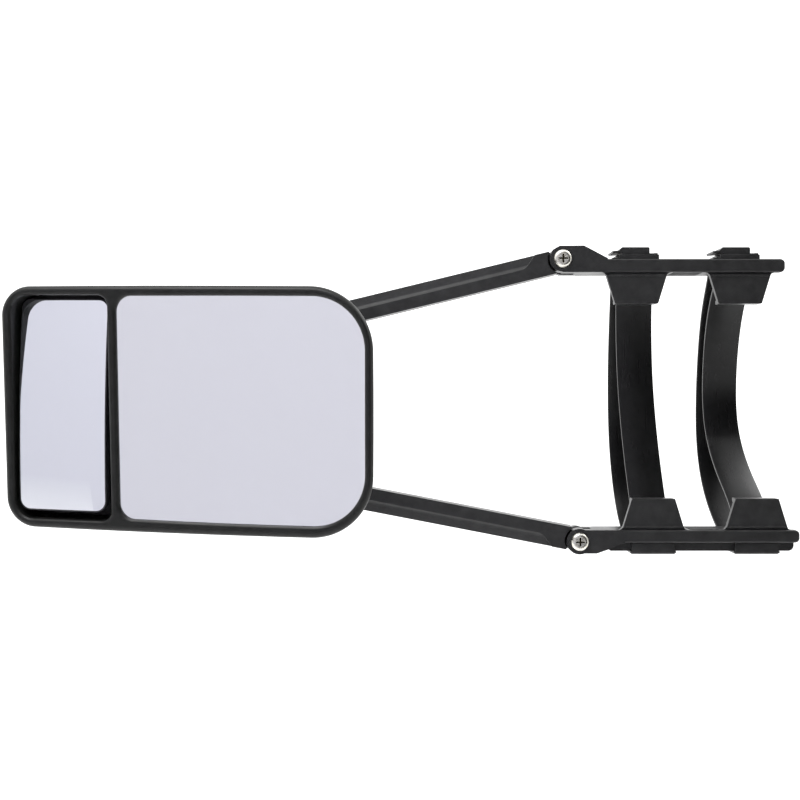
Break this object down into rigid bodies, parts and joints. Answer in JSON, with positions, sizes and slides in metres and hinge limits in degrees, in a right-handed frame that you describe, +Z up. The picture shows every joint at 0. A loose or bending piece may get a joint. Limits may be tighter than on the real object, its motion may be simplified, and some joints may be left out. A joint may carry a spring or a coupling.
{
  "type": "towing mirror",
  "caption": "Clamp-on towing mirror: twin-glass head on a ball joint, two hinged arms, and a hooked clamp with rubber straps.",
  "frame": {"origin": "centre of the clamp's opening, on the plane of the clamp bars' front faces", "axes": "+X runs from the mirror head to the clamp's outer end, -Y faces the driver, +Z is up"},
  "size_m": [0.4354, 0.1528, 0.1733],
  "materials": {
    "black_plastic": "fine-grained moulded black plastic",
    "tray_plastic": "smooth dark grey plastic",
    "strap_rubber": "satin black rubber strap",
    "pad_rubber": "soft matt rubber",
    "flat_mirror": "flat silvered glass",
    "wide_mirror": "convex silvered glass with a blue tint",
    "bright_steel": "bright nickel plate",
    "zinc_steel": "zinc plated steel",
    "stud_steel": "turned steel",
    "nylon": "natural nylon"
  },
  "bodies": {
    "upper_clamp": {"upper_clamp_bar": "black_plastic", "upper_hook_pads": "pad_rubber", "upper_web_pad": "pad_rubber", "inner_buckle_base": "black_plastic", "outer_buckle_base": "black_plastic", "inner_buckle_pin": "zinc_steel", "outer_buckle_pin": "zinc_steel", "inner_strap": "strap_rubber", "outer_strap": "strap_rubber", "upper_clamp_screw": "bright_steel", "upper_clamp_washer": "zinc_steel", "upper_clamp_nut": "zinc_steel"},
    "upper_arm": {"upper_arm": "black_plastic"},
    "bracket": {"arm_bracket": "black_plastic", "socket_cap": "black_plastic", "socket_cap_screws": "zinc_steel", "upper_bracket_screw": "zinc_steel", "upper_bracket_washer": "zinc_steel", "upper_bracket_nut": "zinc_steel", "lower_bracket_screw": "zinc_steel", "lower_bracket_washer": "zinc_steel", "lower_bracket_nut": "zinc_steel"},
    "ball_liner": {"ball_liner": "nylon"},
    "ball_stud": {"ball_stud": "stud_steel", "stud_washer": "zinc_steel", "stud_nut": "zinc_steel"},
    "head": {"head_bezel": "black_plastic", "head_rear_shell": "black_plastic", "head_screws": "zinc_steel", "main_mirror_glass": "flat_mirror", "main_mirror_backing": "black_plastic"},
    "wide_liner": {"wide_mirror_liner": "nylon"},
    "wide_mirror": {"wide_mirror_tray": "tray_plastic", "wide_mirror_glass": "wide_mirror"},
    "lower_clamp": {"lower_clamp_bar": "black_plastic", "lower_hook_pads": "pad_rubber", "lower_web_pad": "pad_rubber", "inner_strap_cover": "black_plastic", "outer_strap_cover": "black_plastic", "inner_cover_screws": "zinc_steel", "outer_cover_screws": "zinc_steel", "lower_clamp_screw": "bright_steel", "lower_clamp_washer": "zinc_steel", "lower_clamp_nut": "zinc_steel"},
    "lower_arm": {"lower_arm": "black_plastic"},
    "inner_lever": {"inner_buckle_lever": "black_plastic"},
    "outer_lever": {"outer_buckle_lever": "black_plastic"}
  },
  "joints": [
    {"name": "upper_arm_pivot", "type": "hinge", "parent": "upper_clamp", "child": "upper_arm", "pos_m": [-0.0751, 0.01, 0.0792], "axis": [0, -1, 0], "range_deg": [-5, 5]},
    {"name": "bracket_pivot", "type": "hinge", "parent": "upper_arm", "child": "bracket", "pos_m": [-0.27429, 0.01, 0.03075], "axis": [0, -1, 0], "range_deg": [-5.5, 5.5]},
    {"name": "jaw_slide", "type": "slide", "parent": "upper_clamp", "child": "lower_clamp", "axis": [0, 0, -1], "range_m": [-0.0405, 0.0405], "deforming": ["inner_strap", "outer_strap"]},
    {"name": "lower_arm_pivot", "type": "hinge", "parent": "lower_clamp", "child": "lower_arm", "pos_m": [-0.0656, 0.01, -0.0794], "axis": [0, 1, 0], "range_deg": [-6.6, 6.6]},
    {"name": "head_pan", "type": "hinge", "parent": "bracket", "child": "ball_liner", "pos_m": [-0.27111, -0.006, -0.00455], "axis": [0, 0, 1], "range_deg": [-12, 12]},
    {"name": "head_tilt", "type": "hinge", "parent": "ball_liner", "child": "ball_stud", "pos_m": [-0.27111, -0.006, -0.00455], "axis": [0.9845, -0.1754, 0], "range_deg": [-8, 8]},
    {"name": "head_roll", "type": "hinge", "parent": "ball_stud", "child": "head", "pos_m": [-0.27111, -0.006, -0.00455], "axis": [0.1746, 0.9805, 0.0906], "range_deg": [-15, 15]},
    {"name": "wide_mirror_pan", "type": "hinge", "parent": "head", "child": "wide_liner", "pos_m": [-0.34354, -0.02296, -0.00261], "axis": [0.0013, -0.0923, 0.9957], "range_deg": [-2, 2]},
    {"name": "wide_mirror_tilt", "type": "hinge", "parent": "wide_liner", "child": "wide_mirror", "pos_m": [-0.34354, -0.02296, -0.00261], "axis": [0.9811, -0.1926, -0.0191], "range_deg": [-1, 3.5]},
    {"name": "inner_lever_hinge", "type": "hinge", "parent": "upper_clamp", "child": "inner_lever", "pos_m": [-0.0219, 0.0105, 0.0805], "axis": [0, 1, 0], "range_deg": [0, 92]},
    {"name": "outer_lever_hinge", "type": "hinge", "parent": "upper_clamp", "child": "outer_lever", "pos_m": [0.0347, 0.0105, 0.0805], "axis": [0, 1, 0], "range_deg": [0, 92]}
  ],
  "couplings": [
    {"joint": "bracket_pivot", "follows": "upper_arm_pivot", "ratio": -1},
    {"joint": "jaw_slide", "follows": "upper_arm_pivot", "m_per_rad": 0.45031},
    {"joint": "lower_arm_pivot", "follows": "upper_arm_pivot", "ratio": 1.2475}
  ]
}
